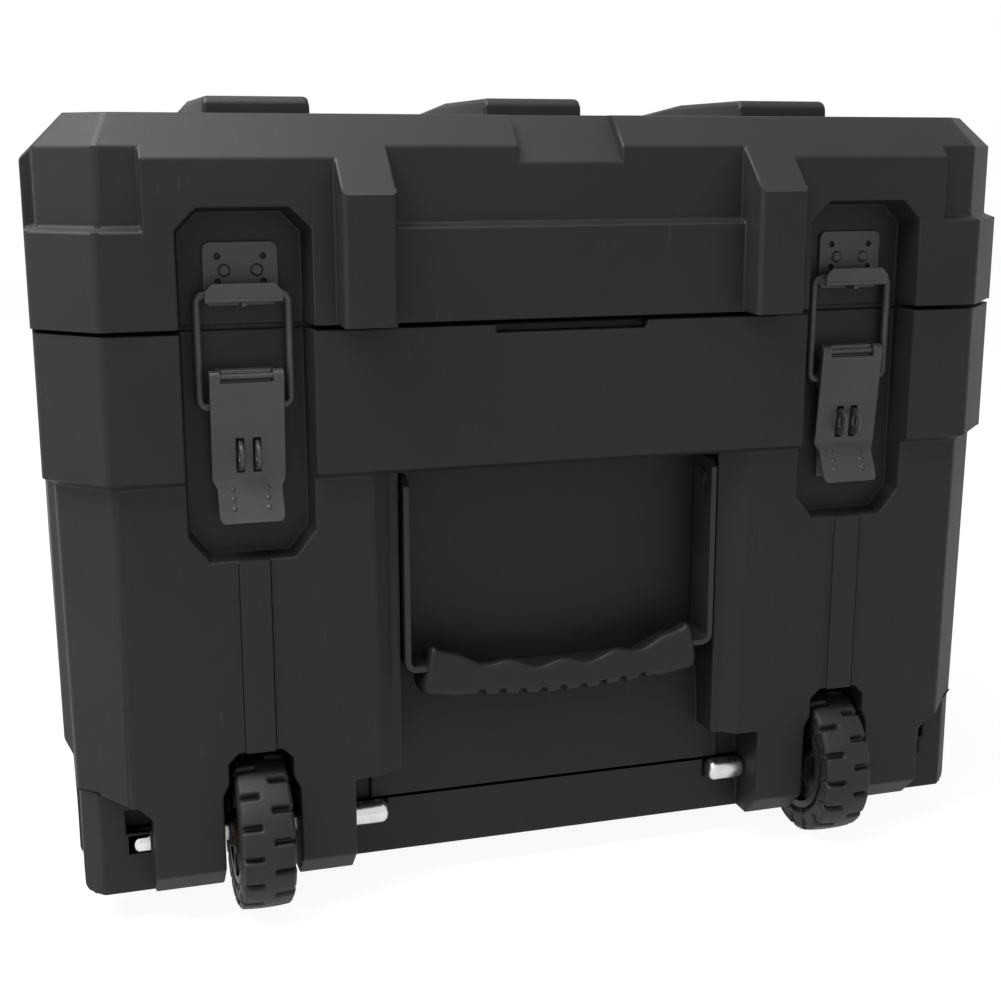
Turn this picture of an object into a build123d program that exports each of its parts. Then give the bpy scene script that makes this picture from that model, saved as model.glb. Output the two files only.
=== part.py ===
from build123d import *
import os
from math import cos, pi, sin, sqrt

# Rolling tool box: a moulded two-part case with two draw latches on the front end,
# a swing handle on each end, two wheels under the front and two feet under the rear.
# Frame: +Z up, front end faces -Y, +X to the right, origin on the floor under the
# centre of the case. All sizes are in millimetres.

# ---------------------------------------------------------------- driving sizes
half_width = 246.6          # base band, centre to side face
half_length = 280.0         # base band, centre to end face
corner_chamfer = 28.0       # 45 degree corner of the case in plan
corner_round = 5.0          # rounding of the chamfer's edges
wall = 4.5                  # moulded wall

seam_z = 290.0              # middle of the gap between base and lid
seam_gap = 2.0
rim_width = 26.0            # flange round the mouth of base and lid
rim_height = 14.0
lid_rim_height = 9.0

# base
band_height = 67.5          # upper band of the base, below the seam
band_step = 5.3             # band stands out from the lower body by this
band_step_height = 3.0
lower_draft = 1.5           # lower body narrows by this down to the bottom bevel
bottom_bevel = 12.5
belly_z = 15.5              # underside of the base above the floor
side_panel_step = 2.1       # raised panel of each side sits back from the band by this
side_panel_end = 60.0       # panel starts this far from the end faces
side_panel_low = 216.0      # its lower edge, below the seam
side_panel_edge = 4.0       # sloped edges of the panel

# lid
lid_overhang = 0.9          # lid band stands out from the base band by this
lid_band_height = 44.0
lid_step = 5.2              # upper corners and centre sit back by this
lid_step_height = 2.0
lid_top = 95.0              # lid's flat top above the seam
bevel_foot = 75.3           # foot of the 45 degree bevel at the band plane, above the seam
corner_block = 49.0         # length of the set-back corner panels
pillar_width = 25.0
pillar_proud = 16.0
pillar_edge = 3.0
bevel_pocket_width = 51.0
bevel_pocket_depth = 7.5    # measured straight down

# raised stacking pads on the lid
pad_pitch = 138.0
pad_width = 51.0
pad_height = 9.0
pad_setback = 62.0          # from the lid's end face
pad_crest = 78.0
pad_ramp = 125.0
pad_edge = 3.0

# latches
latch_side = 92.0           # latch and wheel centres, in from the side face
latch_x = half_width - latch_side
pillar_x = latch_x - 53.6   # the pillars stand between the latches and the middle
recess_width = 60.0
recess_top = 54.0           # above the seam
recess_bottom = 108.0       # below the seam
recess_corner_x = 9.5
recess_corner_top = 9.5
recess_corner_bottom = 12.0
recess_depth = 17.0
recess_draft = 1.8
latch_sheet = 1.5           # steel sheet
latch_plate_width = 34.0
bail_radius = 1.8
bail_half_width = 21.0      # centre line of a bail leg
bail_corner = 3.8
bail_bar = (12.5, 15.4)     # depth behind the end face, height above the seam
lever_pivot = (10.0, -22.0)
bail_pivot_offset = (3.0, -14.0)
bail_ear = 3.6              # ear's edge to the middle of the bail's pivot bar
knuckle_radius = 3.3
latch_pin_radius = 1.5
knuckle_width = 5.0
running_gap = 0.05          # radial clearance of every shaft that turns
side_gap = 0.5              # sideways clearance beside knuckles, ears and hubs
lever_bend = 48.0           # pivot down to the bend of the lever
lever_bend_depth = 12.0
lever_tab = (2.5, -67.0)    # depth of the tab's end, drop below the pivot
lever_tab_width = 30.0
hasp_x = 3.9
hasp_thickness = 1.8
hasp_height = 14.0
hasp_z = -58.6
hasp_reach = 3.0            # depth of the loop's nose
hasp_hole_radius = 3.0
hasp_hole_depth = 7.6
hasp_slot_gap = 0.9
throat_front = 7.6          # inner face of the keeper's lip
lip_top = 20.5
lip_bottom = 13.0
lip_flare = 0.5             # lip is wider than its plate by this on each side
lip_bead_radius = 1.1
lip_top_half = 14.0
lip_top_corner = 3.5
keeper_corner = 3.6
keeper_spare_holes = ((32.1, 1.6), (20.6, 1.6))    # height above the seam, radius
keeper_spare_x = 10.4
keeper_rivet_place = (7.4, 25.8)
latch_base_end = 88.0       # lower end of the base plate, below the seam
latch_base_rivet_x = 9.6
latch_base_rivet_z = (-45.5, -80.0)
slot_end_gap = 1.2          # hasp slot's end clearance
tab_corner = 4.5
tab_shoulder = 4.0
web_half = 1.2
web_gap = 0.7
keeper_top = 38.5
rivet_head_radius = 3.0
rivet_shank_radius = 1.6
rivet_head = 1.0

# wheels
wheel_x = latch_x
wheel_depth = 27.0          # axle behind the end face
wheel_radius = 40.0
tyre_width = 27.0
tread_depth = 4.0
lug_count = 16
lug_share = 0.8            # part of the pitch that a lug fills
lug_reach = 0.6            # each lug crosses this much of the tyre's width
hub_radius = 27.0
hub_dish = 4.0
hub_wall = 4.0              # rim, boss and spokes of the hub
bush_radius = 8.0
axle_radius = 5.0
cap_radius = 6.0
cap_dome = 4.0
axle_slot = 12.0            # square slot above each cap
washer_radius = 8.5
washer_thickness = 1.2
well_width = 31.0
well_flare_width = 37.0
well_top = 203.0            # below the seam
well_flare_z = 224.0
well_flare_rise = 6.0       # height of the flare's slope
well_round = 5.0
well_space = 5.0            # free space behind the wheel
strip_width = 15.0
strip_proud = 1.5

# corner notches by the outer axle ends
notch_x = half_width - 40.0
cap_outer_end = notch_x + 10.0
notch_depth = 22.0
notch_top = 221.0           # below the seam, at the side
notch_drop = 4.0
notch_round = 7.0
corner_foot_step = 7.5      # the block behind the notch sits in from the side by this
corner_foot_end = 50.0      # and runs back to this depth
corner_foot_round = 5.0
corner_foot_chamfer = 8.5

# end recess and swing handle
niche_half = latch_x - 46.0
recess_mouth_half = niche_half - 11.0
recess_ledge_half = niche_half - 20.5   # cheeks run in to a narrow ledge
recess_floor_half = niche_half - 25.0   # the deep part, which houses the handle's arms
recess_ledge_depth = 12.5
cap_inner_end = niche_half - 20.0
recess_floor_depth = 36.0
recess_mouth_depth = 5.3
low_floor_depth = 30.5
niche_top = 223.0
slope_top = 172.0           # the recess floor comes forward between these, below the seam
slope_bottom = 222.0
handle_outer_half = recess_floor_half - 1.6
handle_thickness = 3.0
handle_depth = (10.0, 32.0)
handle_pivot_z = -84.5
handle_top_rise = 10.5      # top of each arm above its pivot
handle_top_corner = 4.5
handle_bottom = 172.5
handle_dip = 8.0            # middle of the cross bar hangs lower by this
handle_dip_start = handle_outer_half - 20.0
handle_dip_end = handle_outer_half - 37.0
handle_bend = 6.0
pivot_pin_radius = 3.0
pivot_head_radius = 4.5
pivot_head = 1.2
grip_half = handle_outer_half - 8.0
grip_depth = (8.0, 33.0)
grip_fall = 5.0             # top of the grip slopes down to the back by this
grip_round = 7.5
grip_end_top = 155.5
grip_mid_top = 168.5
grip_end_bottom = 184.5
grip_mid_bottom = 191.0
grip_scallops = 4
grip_scallop_half = grip_half - 22.0
grip_scallop_depth = 1.3
grip_notches = 9
grip_notch_pitch = 9.0
grip_notch_size = 3.0

# rear hinges
hinge_x = latch_x
hinge_width = 50.0
hinge_leaf = 2.0
hinge_leaf_height = 34.0
hinge_knuckles = 5
hinge_knuckle_radius = 4.5
hinge_pin_radius = 2.25
hinge_wall_gap = 0.5
hinge_rivet_pitch = 30.0
hinge_rivet_drop = (14.0, 8.0)    # middle and outer rivets, from the leaf's edge
hinge_pin_head = 1.5

# rear feet
foot_size = (60.0, 40.0)
foot_setback = 46.0
foot_bevel = 2.0
foot_screw_pitch = 34.0
foot_screw_radius = 2.2
foot_screw_head = (4.5, 3.0)

# seal and finger slot
seal_inset = 19.3
seal_width = 4.0
seal_groove = 3.5
seal_side_gap = 0.25
finger_slot_width = 76.0
finger_slot_height = 5.0
finger_slot_depth = 8.0

joint_gap = 0.3             # between faces of different pieces that only pass each other

# ---------------------------------------------------------------- helpers
front_y = -half_length
base_top = seam_z - seam_gap / 2
lid_bottom = seam_z + seam_gap / 2
bevel_run = lid_top - bevel_foot
axle_z = wheel_radius
well_back = wheel_depth + wheel_radius + well_space
chamfer_shrink = 2 - sqrt(2)


def plan(inset, z):
    """Chamfered and rounded outline of the case, set in by the given distance."""
    chamfer = corner_chamfer - chamfer_shrink * inset
    x, y = half_width - inset, half_length - inset
    points = [(x, y - chamfer), (x - chamfer, y), (chamfer - x, y), (-x, y - chamfer),
              (-x, chamfer - y), (chamfer - x, -y), (x - chamfer, -y), (x, chamfer - y)]
    face = make_face(Polyline(*points, close=True))
    face = fillet(face.vertices(), corner_round)
    return Pos(0, 0, z) * face


def stage(inset_low, z_low, inset_high, z_high):
    """Solid between two outlines of the case."""
    if inset_low == inset_high:
        return extrude(plan(inset_low, z_low), z_high - z_low, dir=(0, 0, 1))
    return loft([plan(inset_low, z_low), plan(inset_high, z_high)], ruled=True)


def block(x0, x1, depth0, depth1, z0, z1):
    """Box given by X, depth behind the front end face and height above the seam."""
    size = (x1 - x0, depth1 - depth0, z1 - z0)
    centre = ((x0 + x1) / 2, front_y + (depth0 + depth1) / 2, seam_z + (z0 + z1) / 2)
    return Pos(*centre) * Box(*size)


def profile_yz(points, x0, x1):
    """Outline of (depth, height above the seam) points, extruded along X."""
    corners = [(x0, front_y + d, seam_z + z) for d, z in points]
    return extrude(make_face(Polyline(*corners, close=True)), x1 - x0, dir=(1, 0, 0))


def profile_xz(points, depth0, depth1):
    """Outline of (x, height above the seam) points, extruded along Y."""
    corners = [(x, front_y + depth0, seam_z + z) for x, z in points]
    return extrude(make_face(Polyline(*corners, close=True)), depth1 - depth0, dir=(0, 1, 0))


def rounded_plate(points, radius, depth0, depth1):
    """Plate with rounded corners from an outline of (x, height above the seam) points."""
    corners = [(x, front_y + depth0, seam_z + z) for x, z in points]
    outline = FilletPolyline(*corners, radius=radius, close=True)
    return extrude(make_face(outline), depth1 - depth0, dir=(0, 1, 0))


def rod_x(radius, x0, x1, depth, z):
    """Cylinder along X at a depth and a height above the seam."""
    place = Pos((x0 + x1) / 2, front_y + depth, seam_z + z)
    return place * Rot(0, 90, 0) * Cylinder(radius, x1 - x0)


def rod_y(radius, x, depth0, depth1, z):
    """Cylinder along Y."""
    place = Pos(x, front_y + (depth0 + depth1) / 2, seam_z + z)
    return place * Rot(90, 0, 0) * Cylinder(radius, depth1 - depth0)


def other_side(shape):
    """The same piece on the other side of the case."""
    return mirror(shape, Plane.YZ)


def both_sides(shape):
    return [shape, other_side(shape)]


def other_end(shape):
    """The same piece on the rear end of the case."""
    return Rot(0, 0, 180) * shape


def save(name, *shapes):
    solids = [solid for shape in shapes for solid in shape.solids()]
    result = solids[0] if len(solids) == 1 else Compound(children=solids)
    export_step(result, f"parts/{name}.step")


# ---------------------------------------------------------------- cuts shared by base and lid
def latch_recess_outline(grow):
    """Half outline of the latch recess, to the right of its centre."""
    half = recess_width / 2 + grow
    top, bottom = recess_top + grow, -recess_bottom - grow
    return [(half, bottom + recess_corner_bottom), (half, top - recess_corner_top),
            (half - recess_corner_x, top), (recess_corner_x - half, top),
            (-half, top - recess_corner_top), (-half, bottom + recess_corner_bottom),
            (recess_corner_x - half, bottom), (half - recess_corner_x, bottom)]


def latch_recess():
    """Eight-sided pocket with drafted walls that carries one draw latch."""
    faces = []
    for depth, grow in ((0.0, 0.0), (recess_depth, -recess_draft)):
        corners = [(latch_x + x, front_y + depth, seam_z + z) for x, z in latch_recess_outline(grow)]
        faces.append(make_face(Polyline(*corners, close=True)))
    mouth = profile_xz([(latch_x + x, z) for x, z in latch_recess_outline(0.0)],
                       -pillar_proud, 0.0)
    return loft(faces, ruled=True) + mouth


latch_recesses = both_sides(latch_recess())


# ---------------------------------------------------------------- base shell
def end_recess():
    """Hand recess: slanted cheeks, a ledge, and a deep floor that comes forward below."""
    cheek_slope = (recess_mouth_half - recess_ledge_half) / (recess_ledge_depth - recess_mouth_depth)
    reach = -pillar_proud
    mouth_half = recess_mouth_half + cheek_slope * (recess_mouth_depth - reach)
    below = belly_z - seam_z - 1
    top = -band_height - band_step_height
    cheeks = []
    for z in (below, top):
        half_plan = [(mouth_half, reach), (recess_ledge_half, recess_ledge_depth),
                     (recess_floor_half, recess_ledge_depth), (recess_floor_half, recess_floor_depth)]
        full_plan = half_plan + [(-x, depth) for x, depth in half_plan[::-1]]
        corners = [(x, front_y + depth, seam_z + z) for x, depth in full_plan]
        cheeks.append(make_face(Polyline(*corners, close=True)))
    room = loft(cheeks, ruled=True)
    start = Vector(0, front_y + recess_floor_depth, seam_z - slope_top)
    end = Vector(0, front_y + low_floor_depth, seam_z - slope_bottom)
    drop = (slope_bottom - slope_top) / 2
    floor_curve = Bezier(start, start - Vector(0, 0, drop), end + Vector(0, 0, drop), end)
    bottom = Vector(0, front_y + low_floor_depth, seam_z + below)
    front_bottom = Vector(0, front_y + reach, seam_z + below)
    front_top = Vector(0, front_y + reach, seam_z + top)
    back_top = Vector(0, front_y + recess_floor_depth, seam_z + top)
    side = make_face([floor_curve, Line(end, bottom), Line(bottom, front_bottom),
                      Line(front_bottom, front_top), Line(front_top, back_top), Line(back_top, start)])
    forward = extrude(side, mouth_half, dir=(1, 0, 0), both=True)
    return room & forward


def axle_niches():
    """Square niche in each cheek where the inner end of an axle shows."""
    below = belly_z - seam_z - 1
    return both_sides(block(recess_floor_half, niche_half, -1, low_floor_depth, below, -niche_top))


def corner_notch():
    side = half_width + 5
    points = [(side, -notch_top), (half_width - 10, -notch_top),
              (notch_x + notch_round, -notch_top - notch_drop),
              (notch_x, -notch_top - notch_drop - notch_round), (notch_x, belly_z - seam_z - 1),
              (side, belly_z - seam_z - 1)]
    flank = block(half_width - corner_foot_step - corner_foot_chamfer, side, -1, corner_foot_end,
                  belly_z - seam_z, -notch_top)
    flank -= corner_foot_plan(notch_depth)
    return profile_xz(points, -1, notch_depth) + flank


def wheel_well():
    """Slot for a wheel, open in front and below, wider towards the floor."""
    narrow, wide = well_width / 2, well_flare_width / 2
    below = belly_z - seam_z - 1
    flare, round_x, round_z = well_flare_rise - well_flare_z, narrow - well_round, -well_top - well_round
    points = [(wheel_x - wide, below), (wheel_x - wide, -well_flare_z), (wheel_x - narrow, flare),
              (wheel_x - narrow, round_z), (wheel_x - round_x, -well_top),
              (wheel_x + round_x, -well_top), (wheel_x + narrow, round_z),
              (wheel_x + narrow, flare), (wheel_x + wide, -well_flare_z), (wheel_x + wide, below)]
    return profile_xz(points, -pillar_proud, well_back)


def axle_cuts():
    """Hole for the axle, open half channels for its end caps and a slot above each cap."""
    z = axle_z - seam_z
    hole = rod_x(axle_radius, cap_inner_end, cap_outer_end, wheel_depth, z)
    caps = rod_x(cap_radius + joint_gap, cap_inner_end - joint_gap, niche_half, wheel_depth, z)
    outer = rod_x(cap_radius + joint_gap, notch_x, cap_outer_end + joint_gap, wheel_depth, z)
    slots = []
    for x0, x1 in ((niche_half - axle_slot, niche_half), (notch_x, notch_x + axle_slot)):
        slots.append(block(x0, x1, 0, wheel_depth + cap_radius, z + cap_radius,
                           z + cap_radius + axle_slot))
    return [hole, caps, outer] + slots


def wheel_strip():
    """Low raised strip from the latch recess down to the wheel well."""
    top = -recess_bottom + 2
    low = -well_top - 8
    lower_top = -band_height - band_step_height
    slope = lower_draft / (lower_top - (belly_z + bottom_bevel - seam_z))
    face_top = band_step + slope * (lower_top - top) - strip_proud
    face_low = band_step + slope * (lower_top - low) - strip_proud
    root = face_low + wall
    return profile_yz([(face_top, top), (face_low, low), (root, low), (root, top)],
                      wheel_x - strip_width / 2, wheel_x + strip_width / 2)


def pivot_pin_hole():
    middle = sum(handle_depth) / 2
    return rod_x(pivot_pin_radius, handle_outer_half, niche_half - wall, middle, handle_pivot_z)


def side_panel():
    """Raised panel along the side of the lower body, with sloped edges."""
    inner = half_width - band_step - lower_draft - 1
    face = half_width - side_panel_step
    reach = half_length - side_panel_end
    slope = face - inner + side_panel_edge
    plan_points = [(inner, -reach - slope), (face, -reach), (face, reach), (inner, reach + slope)]
    low, top = -side_panel_low, -band_height
    corners = [(x, y, seam_z + low) for x, y in plan_points]
    panel = extrude(make_face(Polyline(*corners, close=True)), top - low, dir=(0, 0, 1))
    return panel & profile_xz([(inner, low), (inner, top), (face, top), (face, low + slope)],
                              0, 2 * half_length)


def corner_foot_plan(near):
    """Upright prism of the corner block, whose front starts at the given depth."""
    side, low, high = half_width - corner_foot_step, belly_z - seam_z, -notch_top + notch_drop
    corner, behind = side - corner_foot_chamfer, near + corner_foot_chamfer
    inner = notch_x - wall
    outline = [(inner, near), (corner, near), (side, behind), (side, corner_foot_end),
               (inner, corner_foot_end)]
    corners = [(x, front_y + depth, seam_z + low) for x, depth in outline]
    return extrude(make_face(Polyline(*corners, close=True)), high - low, dir=(0, 0, 1))


def corner_foot():
    """Block behind the corner notch, straight down to the underside."""
    side, low, high = half_width - corner_foot_step, belly_z - seam_z, -notch_top + notch_drop
    inner = notch_x - wall
    outline = [(inner, low), (side, low), (side, high), (inner, high)]
    rounded = rounded_plate(outline, corner_foot_round, notch_depth - 1, corner_foot_end)
    return corner_foot_plan(notch_depth) & rounded


def base_outside():
    lower_top = seam_z - band_height - band_step_height
    bevel_z = belly_z + bottom_bevel
    narrow = band_step + lower_draft
    body = (stage(0, seam_z - band_height, 0, base_top)
            + stage(band_step, lower_top, 0, seam_z - band_height)
            + stage(narrow, bevel_z, band_step, lower_top)
            + stage(narrow + bottom_bevel, belly_z, narrow, bevel_z))
    for piece in both_sides(side_panel()) + both_sides(corner_foot()):
        body += piece
    return body


def keep_solid(with_wheels):
    """Room that the inside of the base leaves for the pockets of one end."""
    deep = -recess_bottom - wall
    walls = [block(-niche_half - wall, niche_half + wall, 0, recess_floor_depth + wall,
                   belly_z - seam_z, -band_height + wall)]
    if with_wheels:
        half = recess_width / 2 + wall
        walls += both_sides(block(latch_x - half, latch_x + half, 0, recess_depth + wall, deep, 0))
        half = well_flare_width / 2 + wall
        walls += both_sides(block(wheel_x - half, wheel_x + half, 0, well_back + wall,
                                  belly_z - seam_z, -well_top + wall))
        z = axle_z - seam_z
        rib = cap_radius + 2 * wall
        walls += both_sides(block(niche_half, half_width, 0, wheel_depth + rib, z - rib, z + rib))
        walls += both_sides(block(notch_x - wall, half_width, 0, wheel_depth + wall,
                                  belly_z - seam_z, -notch_top + wall))
    return walls


def base_inside():
    lower_top = seam_z - band_height - band_step_height
    bevel_z = belly_z + bottom_bevel + wall / 2
    narrow = band_step + lower_draft + wall
    shoulder = base_top - rim_height
    room = (stage(narrow, bevel_z, band_step + wall, lower_top)
            + stage(narrow + bottom_bevel - wall, belly_z + wall + 0.5, narrow, bevel_z)
            + stage(band_step + wall, lower_top, band_step + wall, shoulder)
            + stage(rim_width, shoulder, rim_width, base_top))
    for solid in keep_solid(True):
        room -= solid
    for solid in keep_solid(False):
        room -= other_end(solid)
    return room


def seal_ring(side_gap_each, z_low, z_high):
    outer = stage(seal_inset + side_gap_each, z_low, seal_inset + side_gap_each, z_high)
    inner_inset = seal_inset + seal_width - side_gap_each
    return outer - stage(inner_inset, z_low, inner_inset, z_high)


def base_shell():
    shell = base_outside()
    for strip in both_sides(wheel_strip()):
        shell += strip
    shell -= base_inside()
    shell -= end_recess()
    shell -= other_end(end_recess())
    cuts = latch_recesses + axle_niches() + both_sides(corner_notch()) + both_sides(wheel_well())
    for cut in axle_cuts():
        cuts += both_sides(cut)
    for hole in both_sides(pivot_pin_hole()):
        cuts += [hole, other_end(hole)]
    cuts.append(seal_ring(0, base_top - seal_groove, base_top))
    half = finger_slot_width / 2
    cuts.append(block(-half, half, -1, finger_slot_depth, -finger_slot_height, 0))
    cuts += both_sides(latch_base_rivets(hole_only=True))
    cuts += hinge_rivet_holes(-1)
    cuts += foot_screw_holes()
    for cut in cuts:
        shell -= cut
    return shell


# ---------------------------------------------------------------- lid shell
def lid_cross_section(front, half_span, side):
    """Lid's outline at full size: along the length, or across it when side is true."""
    low = lid_band_height - 4
    edge = front - bevel_run
    points = [(-front, low), (-front, bevel_foot), (-edge, lid_top), (edge, lid_top),
              (front, bevel_foot), (front, low)]
    if side:
        return profile_xz(points, half_length - half_span, half_length + half_span)
    return profile_yz([(half_length + y, z) for y, z in points], -half_span, half_span)


def lid_panels():
    """Full-size panels between the set-back corners and the set-back middle of each end."""
    reach = half_width + lid_overhang - corner_block
    ends = lid_cross_section(half_length + lid_overhang, reach, side=False)
    sides = lid_cross_section(half_width + lid_overhang, half_length - corner_block, side=True)
    middle_half = pillar_x - pillar_width / 2 + 1
    face = -lid_overhang
    low = lid_band_height
    sink = [(face - 1, low), (face + lid_step, low + lid_step_height), (face + lid_step, lid_top + 1),
            (face - 1, lid_top + 1)]
    middle = profile_yz(sink, -middle_half, middle_half)
    return (ends - middle - other_end(middle)) + sides


def lid_pillar():
    """Pillar that runs down the end face from the bevel to the seam."""
    face = -lid_overhang - pillar_proud
    foot = seam_gap / 2
    root_top = bevel_foot + lid_step + lid_overhang
    points = [(face, foot), (face, bevel_foot - pillar_proud), (lid_step, root_top), (lid_step, foot)]
    pillar = profile_yz(points, pillar_x - pillar_width / 2, pillar_x + pillar_width / 2)
    edges = pillar.edges().filter_by(Axis.Z).group_by(Axis.Y)[0]
    return fillet(edges, pillar_edge)


def stacking_pad():
    start = pad_setback
    end = start + pad_crest
    low, high = lid_top - 2, lid_top + pad_height
    points = [(start, low), (start, high - pad_edge), (start + pad_edge, high), (end, high),
              (end + pad_ramp, lid_top), (end + pad_ramp, low)]
    pad = profile_yz(points, -pad_width / 2, pad_width / 2)
    side_edges = [edge for edge in pad.edges() if edge.center().Z > seam_z + lid_top + 1
                  and abs(abs(edge.center().X) - pad_width / 2) < 0.01]
    return chamfer(side_edges, pad_edge / 2)


def bevel_pocket():
    """Shallow pocket in the middle of the front and rear bevels."""
    drop = bevel_pocket_depth
    face = -lid_overhang
    points = [(face - 1, bevel_foot - 1 - drop), (face - 1, lid_top + 1),
              (face + bevel_run + drop + 1, lid_top + 1), (face + bevel_run + drop, lid_top),
              (face, bevel_foot - drop)]
    half = bevel_pocket_width / 2
    return profile_yz(points, -half, half)


def lid_outside():
    wide, upper = -lid_overhang, lid_step - lid_overhang
    band_top = seam_z + lid_band_height
    bevel_z = seam_z + bevel_foot + lid_step
    body = (stage(wide, lid_bottom, wide, band_top)
            + stage(wide, band_top, upper, band_top + lid_step_height)
            + stage(upper, band_top + lid_step_height, upper, bevel_z)
            + stage(upper, bevel_z, bevel_run - lid_overhang, seam_z + lid_top))
    body += lid_panels()
    for pillar in both_sides(lid_pillar()):
        body += pillar
        body += other_end(pillar)
    for pad in (-pad_pitch, 0, pad_pitch):
        body += Pos(pad, 0, 0) * stacking_pad()
        body += Pos(pad, 0, 0) * other_end(stacking_pad())
    for pocket in (bevel_pocket(), other_end(bevel_pocket())):
        body -= pocket
    return body


def lid_inside():
    upper = lid_step - lid_overhang + wall
    shoulder = lid_bottom + lid_rim_height
    bevel_z = seam_z + bevel_foot + lid_step - wall / 2
    room = (stage(rim_width, lid_bottom, rim_width, shoulder)
            + stage(upper, shoulder, upper, bevel_z)
            + stage(upper, bevel_z, bevel_run - lid_overhang + wall, seam_z + lid_top - wall))
    half = recess_width / 2 + wall
    for solid in both_sides(block(latch_x - half, latch_x + half, 0, recess_depth + wall,
                                  0, recess_top + wall)):
        room -= solid
    half = bevel_pocket_width / 2 + wall
    drop = bevel_pocket_depth
    deep = wall * sqrt(2)
    points = [(0, bevel_foot - drop - deep), (bevel_run + drop + deep + 4, lid_top + 4), (0, lid_top + 4)]
    rib = profile_yz(points, -half, half)
    return room - rib - other_end(rib)


def lid_shell():
    shell = lid_outside() - lid_inside()
    for cut in latch_recesses + both_sides(keeper_rivets(hole_only=True)) + hinge_rivet_holes(1):
        shell -= cut
    return shell


# ---------------------------------------------------------------- draw latch
def keeper_plate():
    """Keeper on the lid: back plate, and a lip in front joined to it by a narrow web."""
    half = latch_plate_width / 2
    back = recess_depth - latch_sheet
    low = lip_bottom - 3.0
    outline = [(latch_x - half, low), (latch_x - half, keeper_top), (latch_x + half, keeper_top),
               (latch_x + half, low)]
    plate = rounded_plate(outline, keeper_corner, back, recess_depth)
    wide, step = half + lip_flare, lip_top - lip_top_corner
    lip_outline = [(latch_x - wide, lip_bottom), (latch_x - wide, step),
                   (latch_x - lip_top_half, lip_top), (latch_x + lip_top_half, lip_top),
                   (latch_x + wide, step), (latch_x + wide, lip_bottom)]
    lip = profile_xz(lip_outline, throat_front - latch_sheet, throat_front)
    bead_depth = throat_front - latch_sheet / 2
    bead = rod_x(lip_bead_radius, latch_x - wide, latch_x + wide, bead_depth, lip_bottom)
    web = block(latch_x - web_half, latch_x + web_half, bead_depth, back + 0.5, low, lip_top)
    plate += lip
    plate += bead
    plate += web
    for x in (-keeper_spare_x, keeper_spare_x):
        for z, radius in keeper_spare_holes:
            plate -= rod_y(radius, latch_x + x, back - 1, recess_depth + 1, z)
    return plate


def rivet(x, z, inside, hole_only):
    """Dome-headed rivet through a plate and the wall behind it, or the hole it fills."""
    head_back = recess_depth - latch_sheet
    shank = rod_y(rivet_shank_radius, x, head_back - 0.5, inside, z)
    if hole_only:
        return shank
    head = Pos(x, front_y + head_back - rivet_head, seam_z + z) * Rot(-90, 0, 0)
    cone = Cone(rivet_head_radius - rivet_head, rivet_head_radius, rivet_head,
                align=(Align.CENTER, Align.CENTER, Align.MIN))
    tail = rod_y(rivet_shank_radius + 1, x, inside, inside + 1, z)
    return head * cone + rod_y(rivet_shank_radius, x, head_back, inside, z) + tail


def rivet_group(places, hole_only):
    inside = recess_depth + wall
    rivets = [rivet(latch_x + x, z, inside, hole_only) for x, z in places]
    return Compound(children=rivets)


def keeper_rivets(hole_only=False):
    x, z = keeper_rivet_place
    return rivet_group([(-x, z), (x, z)], hole_only)


def latch_base_rivets(hole_only=False):
    sides = (-latch_base_rivet_x, latch_base_rivet_x)
    return rivet_group([(x, z) for x in sides for z in latch_base_rivet_z], hole_only)


def latch_base():
    """Plate on the base, curled over at the top into the lever's middle knuckle."""
    depth, z = lever_pivot
    half = latch_plate_width / 2 - latch_sheet - 2 * side_gap - 1
    curl_half = latch_plate_width / 2 - knuckle_width - side_gap
    back = recess_depth - latch_sheet
    knuckle_top = z + knuckle_radius
    plate = block(latch_x - half, latch_x + half, back, recess_depth, -latch_base_end,
                  knuckle_top)
    plate += block(latch_x - curl_half, latch_x + curl_half, depth, back + 0.5,
                   knuckle_top - latch_sheet, knuckle_top)
    curl = rod_x(knuckle_radius, latch_x - curl_half, latch_x + curl_half, depth, z)
    curl -= block(latch_x - curl_half, latch_x + curl_half, 0, depth - latch_pin_radius / 3,
                  z - knuckle_radius, z + knuckle_radius)
    plate += curl
    plate -= rod_x(latch_pin_radius, latch_x - half, latch_x + half, depth, z)
    for hole in latch_base_rivets(hole_only=True).solids():
        plate -= hole
    return plate


def padlock_loops():
    """Two flat loops on the base plate that stand out through the lever's slots."""
    nose = hasp_height / 2
    plate_face = recess_depth - latch_sheet
    loops = []
    for x in (-hasp_x, hasp_x):
        x0, x1 = latch_x + x - hasp_thickness / 2, latch_x + x + hasp_thickness / 2
        loop = rod_x(nose, x0, x1, hasp_reach + nose, hasp_z)
        loop += block(x0, x1, hasp_reach + nose, recess_depth, hasp_z - nose, hasp_z + nose)
        loop -= block(x0, x1, plate_face, recess_depth, hasp_z - nose, hasp_z + nose)
        loops.append(loop - rod_x(hasp_hole_radius, x0, x1, hasp_hole_depth, hasp_z))
    return loops


def latch_pin():
    depth, z = lever_pivot
    half = latch_plate_width / 2
    return rod_x(latch_pin_radius, latch_x - half, latch_x + half, depth, z)


def lever_face(depth_shift):
    """Side line of the lever sheet from its knuckle to the end of the tab."""
    depth, z = lever_pivot
    return [(depth - knuckle_radius + depth_shift, z), (lever_bend_depth + depth_shift, z - lever_bend),
            (lever_tab[0] + depth_shift * 0.9, z + lever_tab[1] + depth_shift * 0.3)]


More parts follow.
